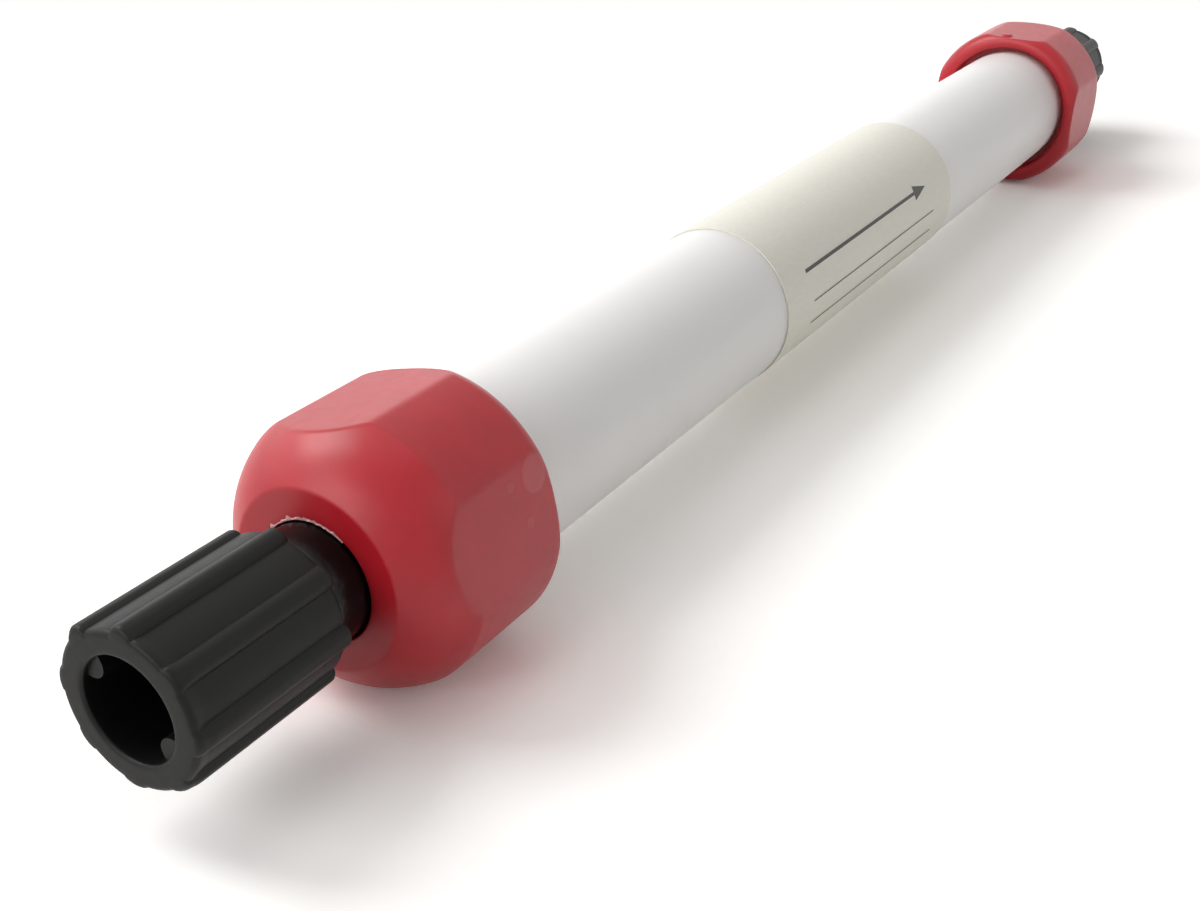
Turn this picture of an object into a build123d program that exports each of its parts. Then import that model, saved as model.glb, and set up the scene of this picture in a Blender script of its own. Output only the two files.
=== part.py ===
from build123d import *
import os
from math import acos, cos, degrees, radians

# A prepacked chromatography column lying on a surface. Millimetres, +Z up, +X the way the liquid flows.
# The origin is on the surface, below the middle of the column.
# Both ends hold the same pieces. Each is built in an end frame, where +Z is the column's axis pointing
# outward and z = 0 is the column's middle, and is then laid along +X (outlet) or -X (inlet).

# ---- driving dimensions ----

# tube and packed bed
tube_outer_d = 12.0
tube_bore_d = 7.7
bed_length = 100.0
tube_overhang = 8.0  # tube beyond each end of the bed
tube_edge_chamfer = 0.3

# label film
label_length = 34.6
label_film = 0.1
label_seam = 1.0  # gap where the two ends of the wrap meet
label_seam_turn = 200.0  # degrees about +X from straight up

# bed supports, from the bed outward
net_thickness = 0.3
frit_thickness = 1.6
distributor_thickness = 1.2
channel_count = 8
channel_width = 0.4
channel_depth = 0.35
channel_hub = 0.2  # solid ring between the middle hole and the channels
channel_rim = 0.6  # solid ring outside the channels

# end piece
flange_thickness = 1.5
flange_inset = 0.15  # flange edge inside the tube's outer surface
port_d = 4.84  # 10-32 thread, drawn at its major diameter
port_depth = 8.2
port_countersink = 0.4
nose_wall = 1.05  # round the port
nose_length = 5.65  # from the flange to the nose's tip
nose_round = 0.45
capillary_d = 0.6
o_ring_section = 1.16
o_ring_play = 0.12  # along the groove, on each side of the ring
groove_to_face = 1.3

# slip washer
washer_thickness = 0.8

# screw cap
cap_wall = 2.19
flat_depth = 0.63  # from the cap's round to the middle of a flat
flat_count = 4
cap_front_wall = 2.25
cap_face_width = 1.75  # flat front face round the nose
dome_radius = 6.3
dome_reach = 1.25  # from the tube's end to where the dome starts
shoulder_round = 0.5
lip_inner_round = 0.45
lip_reach = 7.0  # from the lip's rear edge to the tube's end
lip_relief_depth = 1.6
inlet_cap_turn = -14.75  # degrees about +X from flat up
outlet_cap_turn = 0.0

# finger plug
handle_length = 10.5
handle_body_d = 8.4
handle_wall = 1.32
handle_floor = 2.0
handle_front_round = 0.3
rib_count = 8
rib_width = 1.25
rib_rise = 0.42
key_width = 1.5
key_rise = 0.83  # from the bore's wall towards the axis
key_setback = 0.15
key_turn = 59.0  # from a rib, in the end frame
inlet_plug_turn = 2.3  # degrees about +X, first rib from straight up
outlet_plug_turn = -1.7

# plug seal
seal_cone_length = 1.0
seal_tip_d = 2.0
seal_stem_d = 1.6
seal_stem_length = 2.0

# ---- clearances ----
film_gap = 0.02  # label on tube, bed in bore, o-ring in groove and bore
disc_gap = 0.05  # between stacked discs and round them in the bore
running_gap = 0.05  # radial, cap on tube, shank in port, seal in port and socket
seat_gap = 0.1  # between seated faces that come apart
nose_gap = 0.13  # radial, nose in the cap's front hole
lip_gap = 0.5  # radial, tube in the cap's rear hole
handle_gap = 0.3  # nose tip to handle

# ---- derived radii ----
tube_r = tube_outer_d / 2
bore_r = tube_bore_d / 2
disc_r = bore_r - disc_gap
capillary_r = capillary_d / 2
groove_floor_r = bore_r - o_ring_section - 2 * film_gap
port_r = port_d / 2
nose_r = port_r + nose_wall
cap_hole_r = nose_r + nose_gap
cap_face_r = cap_hole_r + cap_face_width
cap_bore_r = tube_r + running_gap
cap_r = cap_bore_r + cap_wall
flat_reach = cap_r - flat_depth
lip_hole_r = tube_r + lip_gap
lip_crest_r = lip_hole_r + lip_inner_round
lip_outer_round = cap_r - lip_crest_r
shank_r = port_r - running_gap
handle_r = handle_body_d / 2
handle_bore_r = handle_r - handle_wall
rib_crown_r = handle_r + rib_rise

# ---- derived stations along the end frame's axis ----
bed_end = bed_length / 2
tube_end = bed_end + tube_overhang
net_start = bed_end + disc_gap
frit_start = net_start + net_thickness + disc_gap
distributor_start = frit_start + frit_thickness + disc_gap
spigot_start = distributor_start + distributor_thickness + disc_gap
groove_start = spigot_start + groove_to_face
groove_end = groove_start + o_ring_section + 2 * o_ring_play
flange_start = tube_end + disc_gap
flange_end = flange_start + flange_thickness
nose_tip = flange_end + nose_length
port_floor = nose_tip - port_depth
washer_start = flange_end + seat_gap
washer_end = washer_start + washer_thickness
shoulder_start = washer_end + seat_gap
cap_front = shoulder_start + cap_front_wall
lip_start = tube_end - lip_reach
dome_start = tube_end + dome_reach
handle_start = nose_tip + handle_gap
handle_end = handle_start + handle_length
seal_start = port_floor + seat_gap
seal_end = seal_start + seal_cone_length
shank_start = seal_end + seat_gap


def lowest_reach(turn):
    """How far a cap reaches below the axis, its flats turned by so many degrees from flat up."""
    step = 360 / flat_count
    from_flat = abs((turn + 180 + step / 2) % step - step / 2)
    half_flat = min(step / 2, degrees(acos(flat_reach / cap_r)))
    corner_reach = flat_reach / cos(radians(half_flat))
    return corner_reach * cos(radians(max(0.0, half_flat - from_flat)))


axis_height = max(lowest_reach(inlet_cap_turn), lowest_reach(outlet_cap_turn))


# ---- shapes in the end frame ----

def rod(radius, start, end):
    """A plain round rod from one station to another."""
    return Pos(0, 0, start) * Cylinder(radius, end - start, align=(Align.CENTER, Align.CENTER, Align.MIN))


def spun(outline):
    """Turns a closed outline, drawn in the XZ plane with x the radius, about the axis."""
    return revolve(make_face(outline), Axis.Z)


def packed_bed():
    return rod(bore_r - film_gap, -bed_end, bed_end)


def column_tube():
    tube = rod(tube_r, -tube_end, tube_end) - rod(bore_r, -tube_end, tube_end)
    rims = tube.edges().filter_by(GeomType.CIRCLE)
    outer_rims = rims.filter_by(lambda rim: rim.radius > (bore_r + tube_r) / 2)
    return chamfer(outer_rims, tube_edge_chamfer)


def label():
    """A film wrapped round the tube, open along a narrow seam."""
    inner_r = tube_r + film_gap
    outer_r = inner_r + label_film
    label_end = label_length / 2
    film = rod(outer_r, -label_end, label_end) - rod(inner_r, -label_end, label_end)
    return film - Pos(outer_r, 0, 0) * Box(outer_r, label_seam, label_length)


def net():
    return rod(disc_r, net_start, net_start + net_thickness)


def frit():
    return rod(disc_r, frit_start, frit_start + frit_thickness)


def distributor():
    """A disc with radial channels in the face towards the frit and a hole through its middle."""
    channel_inner_r = capillary_r + channel_hub
    channel_length = disc_r - channel_rim - channel_inner_r
    channel_middle_r = channel_inner_r + channel_length / 2
    channel = Pos(channel_middle_r, 0, distributor_start + channel_depth / 2) * Box(
        channel_length, channel_width, channel_depth
    )
    disc = rod(disc_r, distributor_start, distributor_start + distributor_thickness)
    for turned in PolarLocations(0, channel_count):
        disc -= turned * channel
    return disc - rod(capillary_r, distributor_start, distributor_start + distributor_thickness)


def o_ring():
    section_r = o_ring_section / 2
    ring_r = bore_r - film_gap - section_r
    return Pos(0, 0, (groove_start + groove_end) / 2) * Torus(ring_r, section_r)


def end_piece():
    """Spigot with an o-ring groove, flange on the tube's end, and a nose with the threaded port."""
    flange_r = tube_r - flange_inset
    port_mouth_r = port_r + port_countersink
    with BuildLine(Plane.XZ) as outline:
        FilletPolyline((nose_r, flange_end), (nose_r, nose_tip), (port_mouth_r, nose_tip), radius=nose_round)
        Polyline(
            (port_mouth_r, nose_tip),
            (port_r, nose_tip - port_countersink),
            (port_r, port_floor),
            (capillary_r, port_floor),
            (capillary_r, spigot_start),
            (disc_r, spigot_start),
            (disc_r, groove_start),
            (groove_floor_r, groove_start),
            (groove_floor_r, groove_end),
            (disc_r, groove_end),
            (disc_r, flange_start),
            (flange_r, flange_start),
            (flange_r, flange_end),
            (nose_r, flange_end),
        )
    return spun(outline.line)


def slip_washer():
    outer_r = cap_bore_r - seat_gap
    inner_r = nose_r + seat_gap
    return rod(outer_r, washer_start, washer_end) - rod(inner_r, washer_start, washer_end)


def cap():
    """Domed body of revolution with a round rear lip, cut by flats, bored for tube, washer and nose."""
    with BuildLine(Plane.XZ) as outline:
        Line((cap_hole_r, cap_front), (cap_face_r, cap_front))
        RadiusArc((cap_face_r, cap_front), (cap_r, dome_start), dome_radius)
        Line((cap_r, dome_start), (cap_r, lip_start + lip_outer_round))
        RadiusArc((cap_r, lip_start + lip_outer_round), (lip_crest_r, lip_start), lip_outer_round)
        RadiusArc((lip_crest_r, lip_start), (lip_hole_r, lip_start + lip_inner_round), lip_inner_round)
        Polyline(
            (lip_hole_r, lip_start + lip_inner_round),
            (lip_hole_r, lip_start + lip_relief_depth),
            (cap_bore_r, lip_start + lip_relief_depth),
            (cap_bore_r, shoulder_start),
            (cap_hole_r, shoulder_start),
            (cap_hole_r, cap_front),
        )
    body = spun(outline.line)
    front_rims = body.edges().filter_by(GeomType.CIRCLE).group_by(Axis.Z)[-1]
    body = fillet(front_rims.sort_by(lambda rim: rim.radius)[-1], shoulder_round)
    flats = RegularPolygon(flat_reach, flat_count, major_radius=False, rotation=180 / flat_count)
    return body & extrude(flats, cap_front)


def plug():
    """Hollow ribbed handle with two keys in its bore, on a plain shank with a socket for the seal."""
    rib_r = rib_width / 2
    section = Circle(handle_r)
    for rib_place in PolarLocations(rib_crown_r - rib_r, rib_count):
        section += rib_place * Circle(rib_r)
    ribbed = extrude(Pos(0, 0, handle_start) * section, handle_length)
    front_edge = handle_end - handle_front_round
    front_face_r = rib_crown_r - handle_front_round
    with BuildLine(Plane.XZ) as outline:
        Polyline(
            (0, handle_end),
            (0, handle_start),
            (rib_crown_r, handle_start),
            (rib_crown_r, front_edge),
        )
        RadiusArc((rib_crown_r, front_edge), (front_face_r, handle_end), -handle_front_round)
        Line((front_face_r, handle_end), (0, handle_end))
    handle = ribbed & spun(outline.line)
    bore_floor = handle_start + handle_floor
    handle -= rod(handle_bore_r, bore_floor, handle_end)
    key_r = key_width / 2
    key_centre = handle_bore_r - key_rise + key_r
    key_root = handle_bore_r + handle_wall / 2
    key = Pos(key_centre, 0) * Circle(key_r)
    key += Pos((key_centre + key_root) / 2, 0) * Rectangle(key_root - key_centre, key_width)
    key = Pos(0, 0, bore_floor) * extrude(key, handle_end - key_setback - bore_floor)
    for turned in PolarLocations(0, 2, start_angle=key_turn):
        handle += turned * key
    shank = rod(shank_r, shank_start, handle_start)
    socket = rod(seal_stem_d / 2 + running_gap, shank_start, shank_start + seal_stem_length + seat_gap)
    return handle + shank - socket


def plug_seal():
    """Soft cone that closes the port's floor, with a stem in the shank's socket."""
    base_r = shank_r - running_gap
    standing = (Align.CENTER, Align.CENTER, Align.MIN)
    cone = Pos(0, 0, seal_start) * Cone(seal_tip_d / 2, base_r, seal_cone_length, align=standing)
    return cone + rod(seal_stem_d / 2, seal_end, shank_start + seal_stem_length)


# ---- placing ----

def at_outlet(shape, turn=0.0):
    return Pos(0, 0, axis_height) * Rot(turn, 0, 0) * Rot(0, 90, 0) * shape


def at_inlet(shape, turn=0.0):
    return Pos(0, 0, axis_height) * Rot(turn, 0, 0) * Rot(0, -90, 0) * shape


nodes = {
    "column_tube": at_outlet(column_tube()),
    "label": at_inlet(label(), label_seam_turn),
    "packed_bed": at_outlet(packed_bed()),
}
for end_name, place, cap_turn, plug_turn in (
    ("inlet", at_inlet, inlet_cap_turn, inlet_plug_turn),
    ("outlet", at_outlet, outlet_cap_turn, outlet_plug_turn),
):
    nodes[f"{end_name}_net"] = place(net())
    nodes[f"{end_name}_frit"] = place(frit())
    nodes[f"{end_name}_distributor"] = place(distributor())
    nodes[f"{end_name}_o_ring"] = place(o_ring())
    nodes[f"{end_name}_end_piece"] = place(end_piece())
    nodes[f"{end_name}_slip_washer"] = place(slip_washer())
    nodes[f"{end_name}_cap"] = place(cap(), cap_turn)
    nodes[f"{end_name}_plug"] = place(plug(), plug_turn)
    nodes[f"{end_name}_plug_seal"] = place(plug_seal())

os.makedirs("parts", exist_ok=True)
for name, shape in nodes.items():
    export_step(shape, f"parts/{name}.step")
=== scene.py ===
import math
import random

import bpy
from mathutils import Matrix, Vector


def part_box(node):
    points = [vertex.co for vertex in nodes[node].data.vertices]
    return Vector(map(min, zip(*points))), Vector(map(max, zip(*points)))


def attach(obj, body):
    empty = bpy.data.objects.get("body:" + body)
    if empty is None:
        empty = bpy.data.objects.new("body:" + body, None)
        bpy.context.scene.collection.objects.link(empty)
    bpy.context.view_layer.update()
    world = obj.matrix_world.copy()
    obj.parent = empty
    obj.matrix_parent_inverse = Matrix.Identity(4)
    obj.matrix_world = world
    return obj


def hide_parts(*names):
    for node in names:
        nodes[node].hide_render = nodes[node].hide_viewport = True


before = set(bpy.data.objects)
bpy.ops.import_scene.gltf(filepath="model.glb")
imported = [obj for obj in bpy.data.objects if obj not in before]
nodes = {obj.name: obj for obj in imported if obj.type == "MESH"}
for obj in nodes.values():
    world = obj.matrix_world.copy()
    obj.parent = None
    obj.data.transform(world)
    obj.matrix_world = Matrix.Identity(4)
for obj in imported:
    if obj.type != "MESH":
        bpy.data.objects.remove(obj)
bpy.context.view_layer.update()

# A prepacked chromatography column on a pale floor. Metres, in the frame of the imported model:
# +X along the tube towards the outlet, +Z up, the floor at z = 0.
# End pieces are modelled in an end frame: +Z outward along the axis, z = 0 at the column's middle.

MM = 0.001

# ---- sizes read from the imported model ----
tube_low, tube_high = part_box("column_tube")
axis_height = (tube_low.z + tube_high.z) / 2
tube_r = (tube_high.z - tube_low.z) / 2


def radii(node):
    """A node's smallest and largest distance from the column's axis."""
    distances = [math.hypot(v.co.y, v.co.z - axis_height) for v in nodes[node].data.vertices]
    return min(distances), max(distances)


cap_low, cap_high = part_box("outlet_cap")
lip_start, cap_front = cap_low.x, cap_high.x
flat_reach = (cap_high.z - cap_low.z) / 2
cap_hole_r, cap_r = radii("outlet_cap")
plug_low, plug_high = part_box("outlet_plug")
shank_start, handle_end = plug_low.x, plug_high.x
rib_crown_r = radii("outlet_plug")[1]
shoulder_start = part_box("outlet_slip_washer")[1].x + 0.1 * MM  # the seat's gap
tube_end = tube_high.x
nose_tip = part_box("outlet_end_piece")[1].x
label_r = radii("label")[1]

# ---- sizes of the moulded forms ----
flat_count = 4
flat_blend = 0.13 * MM  # softness where a flat meets the round
cap_face_r = 5.35 * MM
dome_radius = 6.3 * MM
dome_start = tube_end + 1.25 * MM
dome_edge_round = 0.7 * MM
shoulder_round = 0.5 * MM
lip_inner_round = 0.38 * MM
lip_relief_depth = 1.6 * MM
lip_hole_r = tube_r + 0.62 * MM
cap_bore_r = tube_r + 0.05 * MM
cap_hole_round = 0.12 * MM
cap_around = flat_count * 90  # mesh points round a cap
inlet_cap_turn = math.radians(-14.75)
outlet_cap_turn = 0.0

handle_start = nose_tip + 0.3 * MM
handle_r = 4.2 * MM
handle_bore_r = 2.88 * MM
handle_floor = 2.0 * MM
handle_front_round = 0.34 * MM
back_edge_round = 0.15 * MM
bore_edge_round = 0.2 * MM
rib_count = 8
rib_r = 0.625 * MM
rib_blend = 0.75 * MM
front_rim_r = 4.43 * MM
rim_run = 1.1 * MM
rim_share = 0.6  # how far the flutes are filled out to the rim
key_r = 0.75 * MM
key_rise = 0.83 * MM
key_setback = 0.15 * MM
key_turn = math.radians(59.0)
shank_r = 2.37 * MM
thread_pitch = 0.79375 * MM
thread_depth = 0.42 * MM
socket_r = 0.85 * MM
socket_depth = 2.1 * MM
inlet_plug_turn = math.radians(2.3)
outlet_plug_turn = math.radians(-1.7)
plug_around = rib_count * 34  # mesh points round a plug


# ---- placing and mesh helpers ----

def end_place(side, turn=0.0):
    """The matrix from the end frame to the row frame; side is 1 at the outlet and -1 at the inlet."""
    lay = Matrix.Rotation(math.radians(90.0 * side), 4, "Y")
    return Matrix.Translation((0, 0, axis_height)) @ Matrix.Rotation(turn, 4, "X") @ lay


def make_piece(name, points, faces, body, material, sharp=40.0):
    mesh = bpy.data.meshes.new(name)
    mesh.from_pydata(points, [], faces)
    mesh.validate()
    mesh.polygons.foreach_set("use_smooth", [True] * len(mesh.polygons))
    mesh.set_sharp_from_angle(angle=math.radians(sharp))
    mesh.materials.append(material)
    piece = bpy.data.objects.new(name, mesh)
    bpy.context.scene.collection.objects.link(piece)
    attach(piece, body)
    return piece


def ring_faces(ring_count, around, closed):
    """Quads between neighbouring rings, and back to the first ring if closed."""
    faces = []
    last = ring_count if closed else ring_count - 1
    for ring in range(last):
        here = ring * around
        there = (ring + 1) % ring_count * around
        for k in range(around):
            after = (k + 1) % around
            faces.append((here + k, here + after, there + after, there + k))
    return faces


def turned_points(profile, around, place, radius_at):
    """Rings of points about the end frame's axis, one for each (radius, station, part) of a profile."""
    angles = [2 * math.pi * k / around for k in range(around)]
    points = []
    for radius, station, part in profile:
        for angle in angles:
            r, z = radius_at(radius, station, part, angle)
            points.append(place @ Vector((r * math.cos(angle), r * math.sin(angle), z)))
    return points


def arc(centre, radius, start, end, steps, part):
    """Points of a profile's arc, by angles in degrees from outward (0) to along the axis (90)."""
    made = []
    for k in range(steps + 1):
        a = math.radians(start + (end - start) * k / steps)
        made.append((centre[0] + radius * math.cos(a), centre[1] + radius * math.sin(a), part))
    return made


def line(start, end, steps, part):
    """Points of a profile's straight stretch, without its first."""
    return [
        (start[0] + (end[0] - start[0]) * k / steps, start[1] + (end[1] - start[1]) * k / steps, part)
        for k in range(1, steps + 1)
    ]


def soft_min(a, b, blend):
    near = max(blend - abs(a - b), 0.0) / blend
    return min(a, b) - near * near * blend / 4


def soft_max(a, b, blend):
    return -soft_min(-a, -b, blend)


def off_nearest(angle, count, start=0.0):
    """The angle from the nearest of so many evenly spaced directions."""
    step = 2 * math.pi / count
    return (angle - start + step / 2) % step - step / 2


# ---- materials ----

def new_material(name):
    material = bpy.data.materials.new(name)
    material.use_nodes = True
    tree = material.node_tree
    return material, tree, tree.nodes["Principled BSDF"]


def add(tree, kind, **values):
    """Adds a node and sets its inputs by name."""
    node = tree.nodes.new(kind)
    for key, value in values.items():
        node.inputs[key.replace("_", " ")].default_value = value
    return node


def metres(tree, stretch=None):
    """The object's own coordinates in metres, scaled along each axis if asked."""
    place = tree.nodes.new("ShaderNodeTexCoord").outputs["Object"]
    if stretch is None:
        return place
    mapping = add(tree, "ShaderNodeMapping", Scale=stretch)
    tree.links.new(place, mapping.inputs["Vector"])
    return mapping.outputs["Vector"]


def combine(tree, operation, first, second):
    """Two values joined by a Math node; the second is a socket or a number."""
    node = tree.nodes.new("ShaderNodeMath")
    node.operation = operation
    tree.links.new(first, node.inputs[0])
    if isinstance(second, float):
        node.inputs[1].default_value = second
    else:
        tree.links.new(second, node.inputs[1])
    return node.outputs["Value"]


def colour_mix(tree, share):
    """A colour mix by a share from 0 to 1, and its output."""
    node = tree.nodes.new("ShaderNodeMix")
    node.data_type = "RGBA"
    tree.links.new(share, node.inputs["Factor"])
    return node, node.outputs["Result"]


def noise(tree, per_metre, detail=3.0, stretch=None):
    """Noise of so many cells to a metre, longer along one axis if asked."""
    texture = add(tree, "ShaderNodeTexNoise", Scale=per_metre, Detail=detail)
    tree.links.new(metres(tree, stretch), texture.inputs["Vector"])
    return texture.outputs["Fac"]


def ramp(tree, value, stops):
    """A colour ramp over a value, with stops of (position, colour)."""
    node = tree.nodes.new("ShaderNodeValToRGB")
    elements = node.color_ramp.elements
    while len(elements) < len(stops):
        elements.new(0.5)
    for element, (position, colour) in zip(elements, stops):
        element.position = position
        element.color = (*colour, 1.0)
    tree.links.new(value, node.inputs["Fac"])
    return node.outputs["Color"]


def spread(tree, value, low, high):
    """A value from 0 to 1 moved to the range from low to high."""
    node = add(tree, "ShaderNodeMapRange", To_Min=low, To_Max=high)
    tree.links.new(value, node.inputs["Value"])
    return node.outputs["Result"]


def bump(tree, shader, heights):
    """Adds up bumps of (height source, depth in metres)."""
    last = None
    for height, depth in heights:
        node = add(tree, "ShaderNodeBump", Strength=1.0, Distance=depth)
        tree.links.new(height, node.inputs["Height"])
        if last is not None:
            tree.links.new(last, node.inputs["Normal"])
        last = node.outputs["Normal"]
    tree.links.new(last, shader.inputs["Normal"])


def shade(colour, factor):
    return tuple(c * factor for c in colour)


def cloudy(tree, value, colour, low, high, change):
    """A ramp from a little under a colour to a little over it."""
    return ramp(tree, value, [(low, shade(colour, 1 - change)), (high, shade(colour, 1 + change))])


def plastic(
    name, colour, rough, level=0.5, mottle=0.06, grain=0.004, grain_per_metre=9000,
    soft=0.0, soft_radius=None,
):
    """Moulded plastic: faint cloudy colour, uneven gloss, a fine eroded grain and slight sink marks."""
    material, tree, shader = new_material(name)
    cloud = noise(tree, 420, 4.0)
    tint = cloudy(tree, cloud, colour, 0.3, 0.7, mottle)
    tree.links.new(tint, shader.inputs["Base Color"])
    wear = noise(tree, 1500, 3.0)
    tree.links.new(spread(tree, wear, rough - 0.05, rough + 0.05), shader.inputs["Roughness"])
    shader.inputs["Specular IOR Level"].default_value = level
    if soft:
        shader.inputs["Subsurface Weight"].default_value = soft
        shader.inputs["Subsurface Radius"].default_value = soft_radius
        shader.inputs["Subsurface Scale"].default_value = 1.0
    grain_height = noise(tree, grain_per_metre, 2.0)
    bump(tree, shader, [(cloud, 0.03 * MM), (grain_height, grain * MM)])
    return material


def moulded_red(name):
    soft_radius = (1.4 * MM, 0.3 * MM, 0.3 * MM)
    return plastic(name, (0.47, 0.010, 0.020), 0.36, soft=0.08, soft_radius=soft_radius)


red = moulded_red("cap_red")
marked_red = moulded_red("cap_red_marked")
flash_pale = plastic("flash_pale", (0.60, 0.33, 0.33), 0.5, mottle=0.25, grain=0.01)
black = plastic("plug_black", (0.0035, 0.0038, 0.0035), 0.42, level=0.22, mottle=0.15, grain=0.006)
gloss_black = plastic(
    "nose_black", (0.0022, 0.0024, 0.0024), 0.22, level=0.22, mottle=0.1,
    grain=0.030, grain_per_metre=1100,
)
milk = plastic(
    "tube_white", (0.975, 0.965, 0.95), 0.42, mottle=0.006, grain=0.0015,
    soft=0.3, soft_radius=(4.0 * MM, 4.0 * MM, 4.0 * MM),
)
washer_white = plastic("washer_white", (0.86, 0.86, 0.84), 0.45, mottle=0.02)
seal_white = plastic("seal_white", (0.88, 0.87, 0.83), 0.5, mottle=0.03)
disc_white = plastic("disc_white", (0.78, 0.78, 0.75), 0.5, mottle=0.03)
rubber_black = plastic("rubber_black", (0.012, 0.012, 0.012), 0.6, level=0.3, mottle=0.2, grain=0.01)
mark_colour = (0.85, 0.42, 0.42)  # stressed plastic at an ejector mark


def moulding_disc(material, centre, radius, share, depth):
    """A round ejector mark on a material: a share of the mark's colour, and a shallow step."""
    tree = material.node_tree
    shader = tree.nodes["Principled BSDF"]
    reach = tree.nodes.new("ShaderNodeVectorMath")
    reach.operation = "DISTANCE"
    reach.inputs[1].default_value = centre
    tree.links.new(metres(tree), reach.inputs[0])
    inside = add(tree, "ShaderNodeMapRange", From_Min=radius * 1.12, From_Max=radius * 0.88)
    tree.links.new(reach.outputs["Value"], inside.inputs["Value"])
    faded = combine(tree, "MULTIPLY", inside.outputs["Result"], share)
    tint, tinted = colour_mix(tree, faded)
    tint.inputs["B"].default_value = (*mark_colour, 1.0)
    tree.links.new(shader.inputs["Base Color"].links[0].from_socket, tint.inputs["A"])
    tree.links.new(tinted, shader.inputs["Base Color"])
    step = add(tree, "ShaderNodeBump", Strength=1.0, Distance=depth)
    tree.links.new(inside.outputs["Result"], step.inputs["Height"])
    tree.links.new(shader.inputs["Normal"].links[0].from_socket, step.inputs["Normal"])
    tree.links.new(step.outputs["Normal"], shader.inputs["Normal"])


def label_film():
    """Satin film with a faint fibre and cloud."""
    material, tree, shader = new_material("label_film")
    paper = (0.86, 0.84, 0.75)
    fibre = noise(tree, 5000, 4.0, stretch=(0.25, 1.0, 1.0))
    tint = cloudy(tree, fibre, paper, 0.25, 0.75, 0.03)
    tree.links.new(tint, shader.inputs["Base Color"])
    tree.links.new(spread(tree, noise(tree, 900), 0.42, 0.52), shader.inputs["Roughness"])
    bump(tree, shader, [(fibre, 0.004 * MM)])
    return material


def bead_bed():
    """Packed white beads, with painted shade greying each bead towards its edge and in the gaps between
    beads.
    """
    material, tree, shader = new_material("bead_bed")
    beads = add(tree, "ShaderNodeTexVoronoi", Scale=9000.0)
    tree.links.new(metres(tree), beads.inputs["Vector"])
    # pale in each cell's middle, grey at its edge: painted shade between the beads
    tint = ramp(tree, beads.outputs["Distance"], [(0.2, (0.90, 0.89, 0.86)), (0.7, (0.62, 0.61, 0.58))])
    tree.links.new(tint, shader.inputs["Base Color"])
    shader.inputs["Roughness"].default_value = 0.7
    flipped = spread(tree, beads.outputs["Distance"], 1.0, 0.0)
    bump(tree, shader, [(flipped, 0.05 * MM)])
    return material


def woven_net():
    """Plain weave of fine plastic threads across the disc, with painted shade in the hollows between
    threads.
    """
    material, tree, shader = new_material("woven_net")
    place = metres(tree)
    heights = []
    for direction in ("Y", "Z"):
        wave = add(tree, "ShaderNodeTexWave", Scale=1600.0)
        wave.bands_direction = direction
        tree.links.new(place, wave.inputs["Vector"])
        heights.append(wave.outputs["Fac"])
    # darker in the wave's troughs: painted shade between the threads
    tint = ramp(tree, heights[0], [(0.1, (0.45, 0.45, 0.43)), (0.6, (0.85, 0.85, 0.82))])
    tree.links.new(tint, shader.inputs["Base Color"])
    shader.inputs["Roughness"].default_value = 0.5
    bump(tree, shader, [(height, 0.05 * MM) for height in heights])
    return material


def sintered():
    """Fused plastic grains with open pores, the pores darkened with painted shade."""
    material, tree, shader = new_material("sintered")
    grains = add(tree, "ShaderNodeTexVoronoi", Scale=5200.0)
    tree.links.new(metres(tree), grains.inputs["Vector"])
    # pale grains, dark grey at the cells' edges: painted shade in the pores between grains
    tint = ramp(tree, grains.outputs["Distance"], [(0.3, (0.84, 0.84, 0.81)), (0.8, (0.30, 0.30, 0.29))])
    tree.links.new(tint, shader.inputs["Base Color"])
    shader.inputs["Roughness"].default_value = 0.75
    bump(tree, shader, [(spread(tree, grains.outputs["Distance"], 1.0, 0.0), 0.08 * MM)])
    return material


def printed_ink():
    """Thin dark print, slightly uneven where the film shows through."""
    material, tree, shader = new_material("label_ink")
    speck = noise(tree, 12000, 3.0)
    tint = ramp(tree, speck, [(0.2, (0.035, 0.036, 0.034)), (0.8, (0.012, 0.012, 0.012))])
    tree.links.new(tint, shader.inputs["Base Color"])
    shader.inputs["Roughness"].default_value = 0.45
    bump(tree, shader, [(speck, 0.002 * MM)])
    return material


node_materials = {
    "column_tube": milk,
    "label": label_film(),
    "packed_bed": bead_bed(),
    "net": woven_net(),
    "frit": sintered(),
    "distributor": disc_white,
    "o_ring": rubber_black,
    "end_piece": gloss_black,
    "slip_washer": washer_white,
    "plug_seal": seal_white,
}
for name, node in nodes.items():
    kind = name.replace("inlet_", "").replace("outlet_", "")
    if kind in node_materials:
        node.data.materials.clear()
        node.data.materials.append(node_materials[kind])


# ---- screw caps ----

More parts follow.
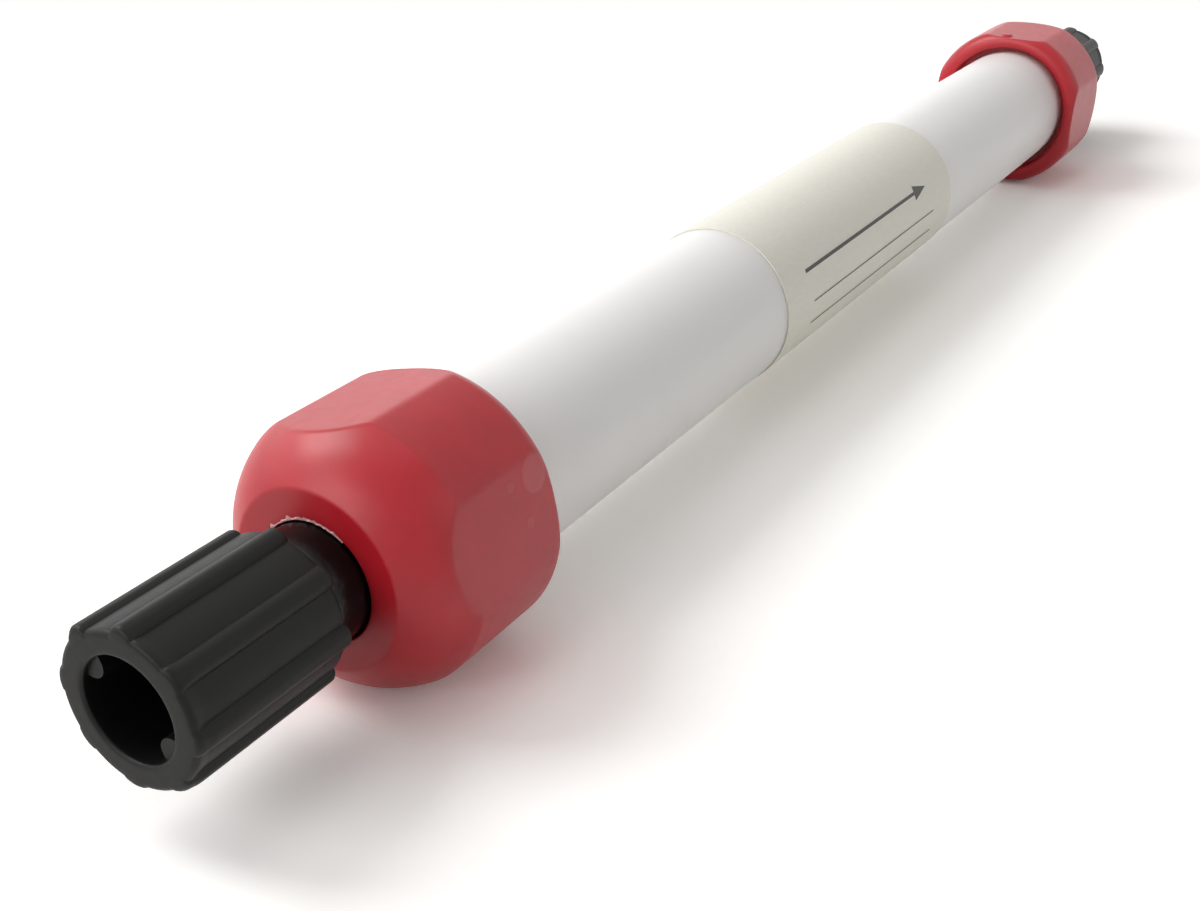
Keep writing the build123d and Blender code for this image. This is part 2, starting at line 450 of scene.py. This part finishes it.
def cap_profile():
    """The cap's section as a closed loop of (radius, station, part)."""
    crest_r = lip_hole_r + lip_inner_round
    outer_round = cap_r - crest_r
    # the dome's arc runs from the round's front edge to the face's outer edge
    span = math.hypot(cap_r - cap_face_r, cap_front - dome_start)
    sag = math.sqrt(dome_radius**2 - span**2 / 4)
    dome_r = (cap_r + cap_face_r) / 2 - sag * (cap_front - dome_start) / span
    dome_z = (cap_front + dome_start) / 2 - sag * (cap_r - cap_face_r) / span
    edge_r = cap_r - dome_edge_round
    edge_z = dome_z + math.sqrt((dome_radius - dome_edge_round) ** 2 - (edge_r - dome_r) ** 2)
    leave = math.degrees(math.atan2(edge_z - dome_z, edge_r - dome_r))
    round_z = cap_front - shoulder_round
    round_r = dome_r + math.sqrt((dome_radius - shoulder_round) ** 2 - (round_z - dome_z) ** 2)
    meet = math.degrees(math.atan2(round_z - dome_z, round_r - dome_r))
    relief_end = lip_start + lip_relief_depth
    inner_round_end = (lip_hole_r, lip_start + lip_inner_round)
    loop = arc((crest_r, lip_start + lip_inner_round), lip_inner_round, 180, 270, 10, "lip")
    loop += arc((crest_r, lip_start + outer_round), outer_round, 270, 360, 14, "lip")[1:]
    loop += line((cap_r, lip_start + outer_round), (cap_r, edge_z), 46, "side")
    loop += arc((edge_r, edge_z), dome_edge_round, 0, leave, 5, "dome")[1:]
    loop += arc((dome_r, dome_z), dome_radius, leave, meet, 50, "dome")[1:]
    loop += arc((round_r, round_z), shoulder_round, meet, 90, 10, "shoulder")[1:]
    loop += line((round_r, cap_front), (cap_hole_r + cap_hole_round, cap_front), 6, "front")
    hole_edge = cap_front - cap_hole_round
    loop += arc((cap_hole_r + cap_hole_round, hole_edge), cap_hole_round, 90, 180, 4, "hole")[1:]
    loop += line((cap_hole_r, hole_edge), (cap_hole_r, shoulder_start), 4, "hole")
    loop += line((cap_hole_r, shoulder_start), (cap_bore_r, shoulder_start), 3, "bore")
    loop += line((cap_bore_r, shoulder_start), (cap_bore_r, relief_end), 6, "bore")
    loop += line((cap_bore_r, relief_end), (lip_hole_r, relief_end), 1, "bore")
    loop += line((lip_hole_r, relief_end), inner_round_end, 4, "bore")[:-1]
    return loop


def cap_radius(radius, station, part, angle):
    reach = flat_reach / math.cos(off_nearest(angle, flat_count))
    if part in ("bore", "hole"):
        return radius, station
    return soft_min(radius, reach, flat_blend), station


def screw_cap(end, side, turn, material):
    profile = cap_profile()
    points = turned_points(profile, cap_around, end_place(side, turn), cap_radius)
    faces = ring_faces(len(profile), cap_around, closed=True)
    piece = make_piece(f"{end}_cap_moulding", points, faces, f"{end}_cap_body", material)
    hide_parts(f"{end}_cap")


# ---- finger plugs ----

def plug_profile():
    """The plug's section from the bore's floor over the handle to the shank's socket."""
    bore_floor = handle_start + handle_floor
    front_edge = handle_end - handle_front_round
    bore_mouth = handle_end - bore_edge_round
    key_top = handle_end - key_setback - bore_edge_round
    section = line((0.4 * MM, bore_floor), (handle_bore_r, bore_floor), 5, "bore floor")
    section += line((handle_bore_r, bore_floor), (handle_bore_r, key_top), 12, "keyed bore")
    section += [(handle_bore_r, key_top, "bore")]
    section += line((handle_bore_r, key_top), (handle_bore_r, bore_mouth), 2, "bore")
    face_start = handle_bore_r + bore_edge_round
    section += arc((face_start, bore_mouth), bore_edge_round, 180, 90, 4, "face")[1:]
    face_edge = handle_r - handle_front_round
    section += line((face_start, handle_end), (face_edge - 0.1 * MM, handle_end), 4, "face")
    section += arc((face_edge, front_edge), handle_front_round, 90, 0, 7, "handle")
    rim_start = handle_end - rim_run
    section += line((handle_r, front_edge), (handle_r, rim_start), 10, "handle")
    back_r, back_edge = handle_r - back_edge_round, handle_start + back_edge_round
    section += line((handle_r, rim_start), (handle_r, back_edge), 26, "handle")
    section += arc((back_r, back_edge), back_edge_round, 0, -90, 5, "handle")[1:]
    section += line((back_r, handle_start), (shank_r, handle_start), 4, "back")
    thread_rings = round((handle_start - shank_start) / thread_pitch * 14)
    section += line((shank_r, handle_start), (shank_r, shank_start), thread_rings, "thread")
    section += line((shank_r - thread_depth, shank_start), (socket_r, shank_start), 3, "tip")
    socket_floor = shank_start + socket_depth
    section += line((socket_r, shank_start), (socket_r, socket_floor), 4, "tip")
    section += line((socket_r, socket_floor), (0.2 * MM, socket_floor), 2, "tip")
    return section


def ribbed_radius(angle):
    """The handle's outer radius: a round body and the ribs' crowns, blended."""
    rib_centre = rib_crown_r - rib_r
    off = off_nearest(angle, rib_count)
    across = rib_centre * math.sin(off)
    crown = 0.0
    if abs(across) < rib_r:
        crown = rib_centre * math.cos(off) + math.sqrt(rib_r**2 - across**2)
    return soft_max(handle_r, crown, rib_blend)


def rimmed_radius(angle, station):
    """The ribbed radius, its flutes but one filled out towards a round rim at the front."""
    ribbed = ribbed_radius(angle)
    off_open = abs(off_nearest(angle, 1, math.pi / rib_count))
    closed = min(1.0, max(0.0, (off_open / (math.pi / rib_count) - 1.0) / 0.5))
    near_front = min(1.0, max(0.0, (station - handle_end + rim_run) / rim_run))
    share = rim_share * closed * near_front**2 * (3 - 2 * near_front)
    return ribbed + share * (front_rim_r - ribbed)


def keyed_radius(angle):
    """The bore's radius, less the two round-nosed keys."""
    key_centre = handle_bore_r - key_rise + key_r
    off = off_nearest(angle, 2, key_turn)
    across = key_centre * math.sin(off)
    if abs(across) >= key_r or abs(off) > math.pi / 4:
        return handle_bore_r
    nose = key_centre * math.cos(off) - math.sqrt(key_r**2 - across**2)
    return min(handle_bore_r, nose)


def thread_radius(station, angle):
    """A right-hand 60 degree thread with flat crests and roots, run out at both ends."""
    turn = (station / thread_pitch - angle / (2 * math.pi)) % 1.0
    wave = abs(turn - 0.5) * 2.0
    height = min(1.0, max(0.0, (wave - 0.15) / 0.62))
    from_tip = (station - shank_start) / (0.6 * thread_pitch)
    from_handle = (handle_start - station) / (0.8 * thread_pitch)
    run_out = max(0.0, min(1.0, from_tip, from_handle))
    return shank_r - thread_depth + thread_depth * height * run_out


def plug_radius(radius, station, part, angle):
    if part == "handle":
        return radius - handle_r + rimmed_radius(angle, station), station
    if part == "keyed bore":
        return keyed_radius(angle), station
    if part == "bore floor":
        return min(radius, keyed_radius(angle)), station
    if part == "thread":
        return thread_radius(station, angle), station
    return radius, station


def finger_plug(end, side, turn):
    profile = plug_profile()
    points = turned_points(profile, plug_around, end_place(side, turn), plug_radius)
    faces = ring_faces(len(profile), plug_around, closed=False)
    first = list(range(plug_around))
    last = [len(points) - plug_around + k for k in range(plug_around)]
    faces += [tuple(reversed(first)), tuple(last)]
    piece = make_piece(f"{end}_plug_moulding", points, faces, f"{end}_plug_body", black)
    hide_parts(f"{end}_plug")


for end, side, cap_turn, plug_turn, cap_material in (
    ("inlet", -1, inlet_cap_turn, inlet_plug_turn, marked_red),
    ("outlet", 1, outlet_cap_turn, outlet_plug_turn, red),
):
    screw_cap(end, side, cap_turn, cap_material)
    finger_plug(end, side, plug_turn)


# ---- moulding marks ----
inlet_place = end_place(-1, inlet_cap_turn)
# the ejector marks on the inlet cap's side flat: along the axis, down from the flat's middle,
# radius, share of the mark's colour, depth
for station, down, mark_r, share, depth in (
    (52.6 * MM, -2.06 * MM, 1.05 * MM, 0.10, 0.02 * MM),
    (54.8 * MM, -2.15 * MM, 0.30 * MM, 0.04, 0.012 * MM),
    (53.8 * MM, 0.38 * MM, 0.32 * MM, 0.04, 0.012 * MM),
):
    centre = inlet_place @ Vector((-down, -flat_reach, station))
    moulding_disc(marked_red, centre, mark_r, share, depth)


def hole_flash(first, last, steps):
    """Ragged pale flash along the inlet cap's front hole, between two angles of the end frame."""
    dice = random.Random(11)
    points = []
    widths = [0.02 + 0.42 * dice.random() ** 4 for _ in range(steps + 1)]
    heights = [0.01 + 0.16 * dice.random() ** 4 for _ in range(steps + 1)]
    for k in range(steps + 1):
        angle = math.radians(first + (last - first) * k / steps)
        fade = min(1.0, 6.0 * k / steps + 0.1, 6.0 * (1 - k / steps) + 0.1)
        near = range(max(0, k - 1), min(steps, k + 1) + 1)
        width = fade * sum(widths[j] for j in near) / len(near) * MM
        height = fade * sum(heights[j] for j in near) / len(near) * MM
        for r, z in (
            (cap_hole_r - 0.02 * MM, -0.2 * MM),
            (cap_hole_r - 0.04 * MM, 0.3 * height),
            (cap_hole_r + 0.35 * width, height),
            (cap_hole_r + width + 0.03 * MM, -0.02 * MM),
            (cap_hole_r + 0.1 * MM, -0.2 * MM),
        ):
            spot = Vector((r * math.cos(angle), r * math.sin(angle), cap_front + z))
            points.append(inlet_place @ spot)
    faces = ring_faces(steps + 1, 5, closed=False)
    faces += [(4, 3, 2, 1, 0), tuple(steps * 5 + k for k in range(5))]
    make_piece("inlet_cap_flash", points, faces, "inlet_cap_body", flash_pale)


hole_flash(52.0, -48.0, 90)


def gate_nub(station, across):
    """The stub of a moulding gate on the outlet cap's upper flat."""
    around = 20
    base = end_place(1, outlet_cap_turn) @ Matrix.Translation((-flat_reach, across, station))
    place = base @ Matrix.Rotation(math.radians(-90.0), 4, "Y")
    profile = [(0.62, -0.45, 0), (0.58, 0.02, 0), (0.45, 0.15, 0), (0.30, 0.19, 0), (0.03, 0.17, 0)]
    profile = [(r * MM, z * MM, part) for r, z, part in profile]
    dice = random.Random(3)
    ragged = [dice.uniform(0.86, 1.12) for _ in range(around)]

    def ragged_radius(radius, rise, part, angle):
        return radius * ragged[round(angle / (2 * math.pi) * around) % around], rise

    points = turned_points(profile, around, place, ragged_radius)
    faces = ring_faces(len(profile), around, closed=False)
    faces += [tuple(range(around - 1, -1, -1)), tuple(range(len(points) - around, len(points)))]
    make_piece("outlet_cap_gate", points, faces, "outlet_cap_body", red)


gate_nub(52.2 * MM, 0.95 * MM)


# ---- print on the label ----
ink = printed_ink()
ink_lift = 0.006 * MM
ink_film = 0.012 * MM
arrow_tail, arrow_tip = -13.45 * MM, 11.55 * MM
arrow_turn = math.radians(62.5)  # from straight up towards -Y
arrow_half_width = 0.14 * MM
head_length, head_half_width = 2.5 * MM, 0.62 * MM


def wrapped_strip(name, stations, half_widths, turn):
    """A thin closed strip that lies along the label, with its own half width at each station."""
    across = 6
    points = []
    for lift in (ink_lift, ink_lift + ink_film):
        for x, half in zip(stations, half_widths):
            for k in range(across + 1):
                a = turn + (2 * k / across - 1) * half / label_r
                r = label_r + lift
                points.append((x, -r * math.sin(a), axis_height + r * math.cos(a)))
    width = across + 1
    layer = len(stations) * width
    faces = []
    for i in range(len(stations) - 1):
        for k in range(across):
            a, b = i * width + k, (i + 1) * width + k
            faces.append((a, a + 1, b + 1, b))
            faces.append((layer + a, layer + b, layer + b + 1, layer + a + 1))
        for k in (0, across):
            a, b = i * width + k, (i + 1) * width + k
            side = (a, b, layer + b, layer + a)
            faces.append(side if k == 0 else side[::-1])
    for i in (0, len(stations) - 1):
        for k in range(across):
            a = i * width + k
            end = (a, layer + a, layer + a + 1, a + 1)
            faces.append(end if i == 0 else end[::-1])
    make_piece(name, points, faces, "root", ink)


def even_stations(first, last, count):
    return [first + (last - first) * k / (count - 1) for k in range(count)]


neck = arrow_tip - head_length
shaft_stations = even_stations(arrow_tail, neck + 0.2 * MM, 25)
wrapped_strip("label_arrow_shaft", shaft_stations, [arrow_half_width] * 25, arrow_turn)
head_stations = [neck + head_length * k / 10 for k in range(11)]
head_widths = [head_half_width * (1 - k / 10) + 0.01 * MM for k in range(11)]
wrapped_strip("label_arrow_head", head_stations, head_widths, arrow_turn)

# two write-on lines below the arrow
line_reach = 12.8 * MM
line_half_width = 0.05 * MM
line_stations = even_stations(-line_reach, line_reach, 25)
for number, line_turn in enumerate((86.0, 103.0), 1):
    half_widths = [line_half_width] * 25
    wrapped_strip(f"label_line_{number}", line_stations, half_widths, math.radians(line_turn))


# ---- floor, light and camera ----

floor_bounce = (0.82, 0.805, 0.785)  # the floor for light that it throws back
seen_floor = (1.42, 1.405, 1.380)  # the floor where it is seen, itself or mirrored
floor_stretch = (0.4, 1.0, 1.0)  # the shadow's area is longer along the tube
near_reach, far_reach = 0.034, 0.062  # from the floor's own white to plain white
world_light, world_seen = 0.26, 1.03


def seen_rays(tree):
    """1 for rays that show a surface, mirror it or pass glass, and 0 for those that light by it."""
    rays = tree.nodes.new("ShaderNodeLightPath").outputs
    seen = combine(tree, "MAXIMUM", rays["Is Camera Ray"], rays["Is Glossy Ray"])
    return combine(tree, "MAXIMUM", seen, rays["Is Transmission Ray"])


def floor_material():
    """White where it is seen, itself or mirrored, and a duller white for the light it throws back."""
    material, tree, shader = new_material("floor_white")
    seen = seen_rays(tree)
    tint, tinted = colour_mix(tree, seen)
    tint.inputs["A"].default_value = (*floor_bounce, 1.0)
    white = cloudy(tree, noise(tree, 6, 3.0), seen_floor, 0.3, 0.7, 0.01)
    tree.links.new(white, tint.inputs["B"])
    tree.nodes.remove(shader)
    matt = add(tree, "ShaderNodeBsdfDiffuse", Roughness=0.6)
    tree.links.new(tinted, matt.inputs["Color"])
    # far from the object the seen floor turns to plain white
    reach = tree.nodes.new("ShaderNodeVectorMath")
    reach.operation = "LENGTH"
    tree.links.new(metres(tree, floor_stretch), reach.inputs[0])
    far = add(tree, "ShaderNodeMapRange", From_Min=near_reach, From_Max=far_reach)
    tree.links.new(reach.outputs["Value"], far.inputs["Value"])
    share = combine(tree, "MULTIPLY", far.outputs["Result"], seen)
    plain = add(tree, "ShaderNodeEmission", Color=(1.0, 1.0, 1.0, 1.0), Strength=1.0)
    mixed = tree.nodes.new("ShaderNodeMixShader")
    tree.links.new(share, mixed.inputs["Fac"])
    tree.links.new(matt.outputs["BSDF"], mixed.inputs[1])
    tree.links.new(plain.outputs["Emission"], mixed.inputs[2])
    tree.links.new(mixed.outputs["Shader"], tree.nodes["Material Output"].inputs["Surface"])
    return material


floor_half = 3.0
floor_mesh = bpy.data.meshes.new("floor")
corners = [(x * floor_half, y * floor_half, 0.0) for x, y in ((-1, -1), (1, -1), (1, 1), (-1, 1))]
floor_mesh.from_pydata(corners, [], [(0, 1, 2, 3)])
floor_mesh.materials.append(floor_material())
floor = bpy.data.objects.new("floor", floor_mesh)
bpy.context.scene.collection.objects.link(floor)

world = bpy.data.worlds.new("studio")
bpy.context.scene.world = world
world.use_nodes = True
sky = world.node_tree.nodes["Background"]
sky.inputs["Color"].default_value = (1.0, 0.985, 0.97, 1.0)
sky_strength = spread(world.node_tree, seen_rays(world.node_tree), world_light, world_seen)
world.node_tree.links.new(sky_strength, sky.inputs["Strength"])


middle = (0.0, 0.0, axis_height)


def softbox(name, place, width, height, watts):
    """A rectangular area lamp aimed at the column's middle."""
    lamp = bpy.data.lights.new(name, "AREA")
    lamp.shape = "RECTANGLE"
    lamp.size, lamp.size_y = width, height
    lamp.energy = watts
    holder = bpy.data.objects.new(name, lamp)
    holder.location = place
    holder.rotation_euler = (Vector(middle) - Vector(place)).to_track_quat("-Z", "Y").to_euler()
    bpy.context.scene.collection.objects.link(holder)


softbox("key", (-0.12, 0.26, 0.30), 0.20, 0.22, 0.88)
softbox("top", (0.02, 0.04, 0.42), 0.34, 0.30, 0.18)
softbox("left", (-0.42, 0.14, 0.20), 0.34, 0.26, 0.70)
softbox("back", (0.38, 0.34, 0.12), 0.50, 0.12, 0.18)
softbox("rear", (-0.10, 0.45, 0.13), 0.55, 0.12, 0.20)
softbox("front", (0.06, -0.46, 0.30), 0.50, 0.30, 0.22)

camera_place = Vector((-113.914, -46.667, 51.844)) * MM
camera_target = Vector((-37.489, -2.207, 5.127)) * MM
camera_roll = math.radians(1.701)
lens = bpy.data.cameras.new("camera")
lens.lens = 46.077
lens.sensor_width = 36.0
lens.sensor_fit = "HORIZONTAL"
lens.clip_start = 0.001
lens.clip_end = 20.0
camera = bpy.data.objects.new("camera", lens)
aim = (camera_target - camera_place).to_track_quat("-Z", "Y").to_matrix().to_4x4()
camera.matrix_world = Matrix.Translation(camera_place) @ aim @ Matrix.Rotation(camera_roll, 4, "Z")
bpy.context.scene.collection.objects.link(camera)
bpy.context.scene.camera = camera

bpy.context.scene.view_settings.view_transform = "Standard"
